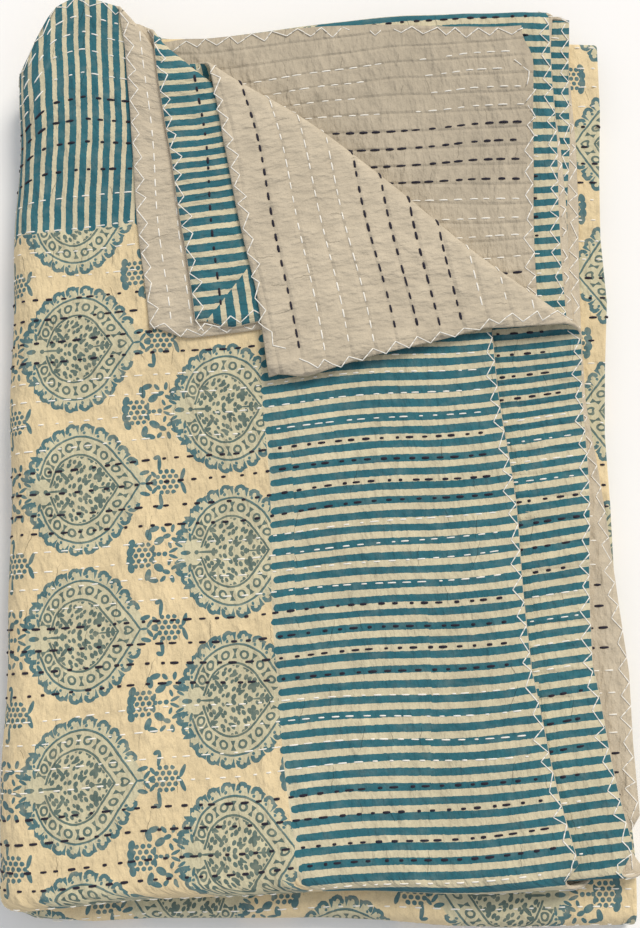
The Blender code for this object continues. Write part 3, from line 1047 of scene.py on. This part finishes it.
def lean(u, v):
    """How far a row is pulled towards the top near its side hem, on the two layers whose border shows."""
    low = (u < FOLD_4) & (v < FOLD_3)
    high = (u > WIDTH - FOLD_4) & (v > LENGTH - FOLD_3)
    down = np.where(low, v, LENGTH - v)
    slope = 0.09 * np.clip((down - 150 * MM) / (100 * MM), 0, 1)
    slope = slope - 0.035 * np.clip((down - 290 * MM) / (260 * MM), 0, 1)
    return slope * np.maximum(200 * MM - np.minimum(u, WIDTH - u), 0) * (1.0 * high - 1.0 * low)


def row_line(u, base, fan=0.0):
    """Place along the cloth of one wavy row, at each u."""
    sway = 1.6 * MM * np.sin(u / (95 * MM) + base * 31) + 0.8 * MM * np.sin(u / (38 * MM) + base * 77)
    # The rows of the last layer that shows its back arch up near its side hem
    arch = 4.0 * MM * np.exp(-(((u - 45 * MM) / (45 * MM)) ** 2)) * (base > LENGTH - 130 * MM)
    return base + sway + arch + lean(u, base) - fan * smooth((u - WIDTH / 4) / (WIDTH / 2))


def stitch_rows():
    """Every row as its place along the cloth, how far it fans out, and whether it is black."""
    rows = []
    for j in range(int(LAST_QUARTER / ROW_PITCH)):
        base = FIRST_ROW + j * ROW_PITCH + (np.interp(j, SHIFTED_ROWS, ROW_SHIFTS) + rng.normal(0, 0.6)) * MM
        rows.append((base, 0.0, (j - WHITE_GROUP_START) % (2 * GROUP) >= GROUP))
    for j in range(LAST_ROWS):
        base = LENGTH - (LAST_ROW_START + LAST_ROW_PITCH * j) * MM
        rows.append((base, LAST_ROW_FAN * j, j % (2 * GROUP) >= GROUP))
    return rows


def inside_hems(stitches, margin):
    """Starts, ends, faces and blackness of the stitches that keep a margin from every hem."""
    table = np.vstack(stitches)
    kept = (hem_distance(table[:, 0:2]) > margin) & (hem_distance(table[:, 2:4]) > margin)
    table = table[kept]
    return table[:, 0:2], table[:, 2:4], table[:, 4], table[:, 5] > 0


def stitch_ends():
    """Every dash that the rows may show, on either face of the flat cloth."""
    kinds = [
        # face, place after the station, length, spread of the length
        (1, 0.0, FRONT_STITCH, 0.45),
        (-1, FRONT_STITCH, BACK_STITCH, 0.2),
    ]
    stitches = []
    for base, fan, is_black in stitch_rows():
        first = right_hem(base) + FROM_HEM
        last = left_hem(base) - FROM_HEM
        # The rows nearest to the end hems are black on one half of the throw, and the white ones stop there
        half_black = (BLACK_HALF_ROW[0] < base < BLACK_HALF_ROW[1]) or (base > LENGTH - 6 * MM)
        if base < WHITE_STOPS and not half_black:
            last = FOLD_1
        stations = first + np.arange(int((last - first) / STITCH_PITCH)) * STITCH_PITCH
        stations = stations + rng.normal(0, 0.7, len(stations)) * MM
        for face, shift, size, spread in kinds:
            a = stations + shift
            b = a + size * rng.uniform(1.0 - spread, 1.0 + spread, len(a))
            black = (a > FOLD_1) if half_black else np.full(len(a), is_black)
            places = [a, row_line(a, base, fan), b, row_line(b, base, fan)]
            stitches.append(np.column_stack(places + [np.full(len(a), face), black]))
    return inside_hems(stitches, ROW_MARGIN)


# %% [markdown]
# ## Zigzag along the hems
# White thread runs in a zigzag over the turned hem, and shows on both faces. Each leg is two short stitches
# so that it follows the cloth.

# %% Hem stitches
ZIGZAG_PITCH = 15.5 * MM
ZIGZAG_NEAR = 0.2 * MM
ZIGZAG_FAR = 6.0 * MM
ZIGZAG_MARGIN = -0.9 * MM


def zigzag(length, hem_point):
    """Ends of the zigzag's stitches along one hem. hem_point gives the place at a distance along and in."""
    count = int(length / ZIGZAG_PITCH * 2)
    along = np.linspace(FROM_HEM, length - FROM_HEM, count) + rng.normal(0, 1.3, count) * MM
    into = np.where(np.arange(count) % 2 == 0, ZIGZAG_NEAR, ZIGZAG_FAR + rng.normal(0, 0.8, count) * MM)
    corners = hem_point(along, into)
    middles = hem_point((along[:-1] + along[1:]) / 2, (into[:-1] + into[1:]) / 2)
    return np.vstack([corners[:-1], middles]), np.vstack([middles, corners[1:]])


def hem_stitches():
    """Every stitch that the zigzag may show, on either face of the flat cloth."""
    hems = [
        (LENGTH, lambda a, d: np.column_stack([right_hem(a) + d, a])),
        (LENGTH, lambda a, d: np.column_stack([left_hem(a) - d, a])),
        (WIDTH, lambda a, d: np.column_stack([a, top_hem(a) + d])),
        (WIDTH, lambda a, d: np.column_stack([a, end_hem(a) - d])),
    ]
    stitches = []
    for length, hem_point in hems:
        for face in (1, -1):
            a, b = zigzag(length, hem_point)
            stitches.append(np.column_stack([a, b, np.full(len(a), face), np.zeros(len(a))]))
    return inside_hems(stitches, ZIGZAG_MARGIN)


# %% Dashes that show, as points on the folded cloth
CLEAR = 40 * MM
LOWEST = 0.35 * MM
STRAIGHT = 0.8


def on_cloth(a, b, faces):
    """Middle, direction, normal and length of each dash on the folded skin, and whether it is straight."""
    middle = (a + b) / 2
    rise = np.where(faces > 0, relief(middle, 1.0), relief(middle, -1.0))
    start = folded(a, faces, rise)
    end = folded(b, faces, rise)
    centre = folded(middle, faces, rise)
    normal = folded(middle, faces, rise + MM) - centre
    normal /= np.linalg.norm(normal, axis=1)[:, None]
    along = end - start
    length = np.linalg.norm(along, axis=1)
    flat_length = np.linalg.norm(b - a, axis=1)
    straight = length > STRAIGHT * flat_length
    return centre, along, normal, length, straight


def showing(centre, normal):
    """Whether nothing lies over each place."""
    tree = BVHTree.FromObject(cloth, bpy.context.evaluated_depsgraph_get())
    free = []
    for spot, up in zip(centre + normal * 0.3 * MM, normal):
        free.append(tree.ray_cast(Vector(spot), Vector(up), CLEAR)[0] is None)
    return np.array(free)


# %% Thread stitch and its node tree
DASH_RINGS = [(-0.36, 0.85, -0.25), (0.0, 1.0, 0.25), (0.36, 0.85, -0.25)]
LEG_RINGS = [(-0.5, 1.0, 0.2), (0.5, 1.0, 0.2)]
THREAD_SIDES = 6
FLATTENED = 0.8


def thread_piece(name, rings, tip):
    """Thread a metre long, along X. Rings give x, radius and height, tip gives its end's x and height."""
    bm = bmesh.new()
    first = bm.verts.new((-tip[0], 0.0, tip[1]))
    loops = []
    for x, radius, z in rings:
        ring = []
        for k in range(THREAD_SIDES):
            a = 2 * math.pi * k / THREAD_SIDES
            ring.append(bm.verts.new((x, radius * math.cos(a), z + FLATTENED * radius * math.sin(a))))
        loops.append(ring)
    last = bm.verts.new((tip[0], 0.0, tip[1]))
    for k in range(THREAD_SIDES):
        n = (k + 1) % THREAD_SIDES
        bm.faces.new((first, loops[0][n], loops[0][k]))
        for low, high in zip(loops[:-1], loops[1:]):
            bm.faces.new((low[k], low[n], high[n], high[k]))
        bm.faces.new((last, loops[-1][k], loops[-1][n]))
    bmesh.ops.recalc_face_normals(bm, faces=bm.faces[:])
    for f in bm.faces:
        f.smooth = True
    mesh = bpy.data.meshes.new(name)
    bm.to_mesh(mesh)
    bm.free()
    return bpy.data.objects.new(name, mesh)


def stitch_tree():
    """Node tree that lays a stitch on every point, by its direction, normal and length."""
    tree = bpy.data.node_groups.new("stitches_on_points", "GeometryNodeTree")
    rows = [
        ("Points", "INPUT", "NodeSocketGeometry"),
        ("Stitch", "INPUT", "NodeSocketObject"),
        ("Thread Radius", "INPUT", "NodeSocketFloat"),
        ("Seed", "INPUT", "NodeSocketInt"),
        ("Thread", "INPUT", "NodeSocketMaterial"),
        ("Stitches", "OUTPUT", "NodeSocketGeometry"),
    ]
    for name, way, kind in rows:
        tree.interface.new_socket(name=name, in_out=way, socket_type=kind)
    given = add(tree, "NodeGroupInput", {}).outputs
    along = add(tree, "GeometryNodeInputNamedAttribute", {"Name": "along"}, data_type="FLOAT_VECTOR")
    up = add(tree, "GeometryNodeInputNamedAttribute", {"Name": "up"}, data_type="FLOAT_VECTOR")
    length = add(tree, "GeometryNodeInputNamedAttribute", {"Name": "length"}, data_type="FLOAT")
    facing = add(tree, "FunctionNodeAlignRotationToVector", {"Vector": along.outputs[0]}, axis="X")
    turned = {"Rotation": facing.outputs[0], "Vector": up.outputs[0]}
    turned = add(tree, "FunctionNodeAlignRotationToVector", turned, axis="Z", pivot_axis="X")
    vary = add(tree, "FunctionNodeRandomValue", {2: 0.85, 3: 1.15, "Seed": given["Seed"]}, data_type="FLOAT")
    radius = {0: given["Thread Radius"], 1: vary.outputs[1]}
    radius = add(tree, "ShaderNodeMath", radius, operation="MULTIPLY").outputs[0]
    size = add(tree, "ShaderNodeCombineXYZ", {0: length.outputs[0], 1: radius, 2: radius})
    stitch = add(tree, "GeometryNodeObjectInfo", {"Object": given["Stitch"]})
    laid = {"Points": given["Points"], "Instance": stitch.outputs["Geometry"]}
    laid.update({"Rotation": turned.outputs[0], "Scale": size.outputs[0]})
    laid = add(tree, "GeometryNodeInstanceOnPoints", laid)
    real = add(tree, "GeometryNodeRealizeInstances", {0: laid.outputs[0]})
    coloured = {"Geometry": real.outputs[0], "Material": given["Thread"]}
    coloured = add(tree, "GeometryNodeSetMaterial", coloured)
    add(tree, "NodeGroupOutput", {0: coloured.outputs[0]})
    return tree


def lay_stitches(name, tree, stitch, spots, radius, seed, material):
    """Plain mesh of a set of stitches, from their points."""
    centre, along, up, length = spots
    points = bpy.data.meshes.new(name + "_points")
    points.from_pydata((centre + up * 0.15 * radius).tolist(), [], [])
    for label, values in (("along", along), ("up", up)):
        layer = points.attributes.new(label, "FLOAT_VECTOR", "POINT")
        layer.data.foreach_set("vector", values.astype(np.float32).ravel())
    layer = points.attributes.new("length", "FLOAT", "POINT")
    layer.data.foreach_set("value", length.astype(np.float32))
    holder = show(name + "_points", points)
    modifier = holder.modifiers.new("stitches", "NODES")
    modifier.node_group = tree
    sockets = {s.name: s.identifier for s in tree.interface.items_tree if s.in_out == "INPUT"}
    modifier[sockets["Stitch"]] = stitch
    modifier[sockets["Thread Radius"]] = radius
    modifier[sockets["Seed"]] = seed
    modifier[sockets["Thread"]] = material
    made = bpy.data.meshes.new_from_object(holder.evaluated_get(bpy.context.evaluated_depsgraph_get()))
    holder.modifiers.remove(modifier)
    bpy.data.objects.remove(holder)
    for attribute in [a.name for a in made.attributes if a.name in ("along", "up", "length")]:
        made.attributes.remove(made.attributes[attribute])
    made.name = name
    stitches = show(name, made)
    triangles = sum(len(p.vertices) - 2 for p in made.polygons)
    print(name, len(centre), "stitches,", triangles, "triangles")
    return stitches


# %% [markdown]
# ## Thread finish
# Soft cotton embroidery thread, matt, with a little sheen along its edge. White and near black.

# %% Thread materials
def thread_material(name, code):
    """Matt cotton thread."""
    material, tree, shader = new_material(name, 0.85)
    place = add(tree, "ShaderNodeTexCoord", {})
    speck = {"Vector": place.outputs["Object"], "Scale": 900.0, "Detail": 2.0}
    speck = add(tree, "ShaderNodeTexNoise", speck)
    both = {0: speck.outputs[0], 6: [0.86 * c for c in linear(code)[:3]] + [1.0], 7: linear(code)}
    shade = add(tree, "ShaderNodeMix", both, data_type="RGBA")
    tree.links.new(shade.outputs[2], shader.inputs["Base Color"])
    shader.inputs["Sheen Weight"].default_value = 0.1
    return material


# White thread: the brightest thing on the cloth, warm white cotton
white_cotton = thread_material("white_cotton_thread", WHITE_THREAD)
# Black thread: a blue-black that reads as ink dashes
black_cotton = thread_material("black_cotton_thread", BLACK_THREAD)

# %% Laying the thread
def shown_spots(starts, ends, faces):
    """Middle, direction, normal and length of the stitches, and which of them show."""
    centre, along, up, length, straight = on_cloth(starts, ends, faces)
    lowest = centre[:, 2] - np.abs(along[:, 2]) / 2
    shown = straight & showing(centre, up) & (lowest > LOWEST)
    print("stitches:", len(centre), "shown:", int(shown.sum()))
    return (centre, along, up, length), shown


run_starts, run_ends, run_faces, run_black = stitch_ends()
hem_starts, hem_ends, hem_faces, _ = hem_stitches()
run_spots, run_shown = shown_spots(run_starts, run_ends, run_faces)
hem_spots, hem_shown = shown_spots(hem_starts, hem_ends, hem_faces)
tree = stitch_tree()
dash = thread_piece("thread_dash", DASH_RINGS, (0.5, -0.9))
leg = thread_piece("thread_leg", LEG_RINGS, (0.52, 0.2))
pieces = [
    # name, stitch, spots, which of them, thread radius, seed, material
    ("white_stitches", dash, run_spots, run_shown & ~run_black, 0.50 * MM, 3, white_cotton),
    ("black_stitches", dash, run_spots, run_shown & run_black, 0.82 * MM, 5, black_cotton),
    ("hem_thread", leg, hem_spots, hem_shown, 0.37 * MM, 7, white_cotton),
]
threads = []
for name, stitch, spots, some, radius, seed, material in pieces:
    threads.append(lay_stitches(name, tree, stitch, [part[some] for part in spots], radius, seed, material))
for stitch in (dash, leg):
    bpy.data.objects.remove(stitch)

# %% [markdown]
# ## Riding on the frame
# The sheet stands for the one CAD node. Its thread goes with it.

# %% Frame
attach(cloth, "root")
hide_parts("throw")
for thread in threads:
    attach(thread, "root")

# %% [markdown]
# ## Floor, light and camera
# A plain pale floor, a wide soft light from above and a softer fill, as in a product photo. The camera looks
# almost straight down, tilted a little towards the viewer's side.

# %% Floor
FLOOR_SIZE = 6.0
floor_mesh = bpy.data.meshes.new("floor")
half = FLOOR_SIZE / 2
floor_corners = [(-half, -half, 0), (half, -half, 0), (half, half, 0), (-half, half, 0)]
floor_mesh.from_pydata(floor_corners, [], [(0, 1, 2, 3)])
floor = show("floor", floor_mesh)
floor_material, _, floor_shader = new_material("pale_floor", 0.9)
floor_shader.inputs["Base Color"].default_value = linear(FLOOR)
floor_mesh.materials.append(floor_material)
floor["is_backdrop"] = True

# %% Light
SUN_STRENGTH = 2.2
SKY_STRENGTH = 0.61
world = bpy.data.worlds.new("soft_studio")
bpy.context.scene.world = world
world.use_nodes = True
world.node_tree.nodes["Background"].inputs["Color"].default_value = linear("#f6f8ff")
world.node_tree.nodes["Background"].inputs["Strength"].default_value = SKY_STRENGTH
sun_data = bpy.data.lights.new("window", "SUN")
sun_data.energy = SUN_STRENGTH
sun_data.angle = math.radians(24)
sun_data.color = linear("#fff8ee")[:3]
sun = show("window", sun_data)
sun.rotation_euler = (math.radians(-38), math.radians(30), 0.0)

# %% Camera
CAMERA_PLACE = (2.78 * MM, -144.62 * MM, 861.5 * MM)
CAMERA_TILT = math.radians(9)
camera_data = bpy.data.cameras.new("camera")
camera_data.lens = 50.35
camera_data.clip_start = 0.01
camera = show("camera", camera_data)
camera.location = CAMERA_PLACE
camera.rotation_euler = (CAMERA_TILT, 0.0, 0.0)
bpy.context.scene.camera = camera
bpy.context.scene.view_settings.view_transform = "Standard"

# %% Size and finish
size_at_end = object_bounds()
[[list(corner) for corner in pair] for pair in (size_at_load, size_at_end)]
print("box at load:", size_at_load, "at the end:", size_at_end)
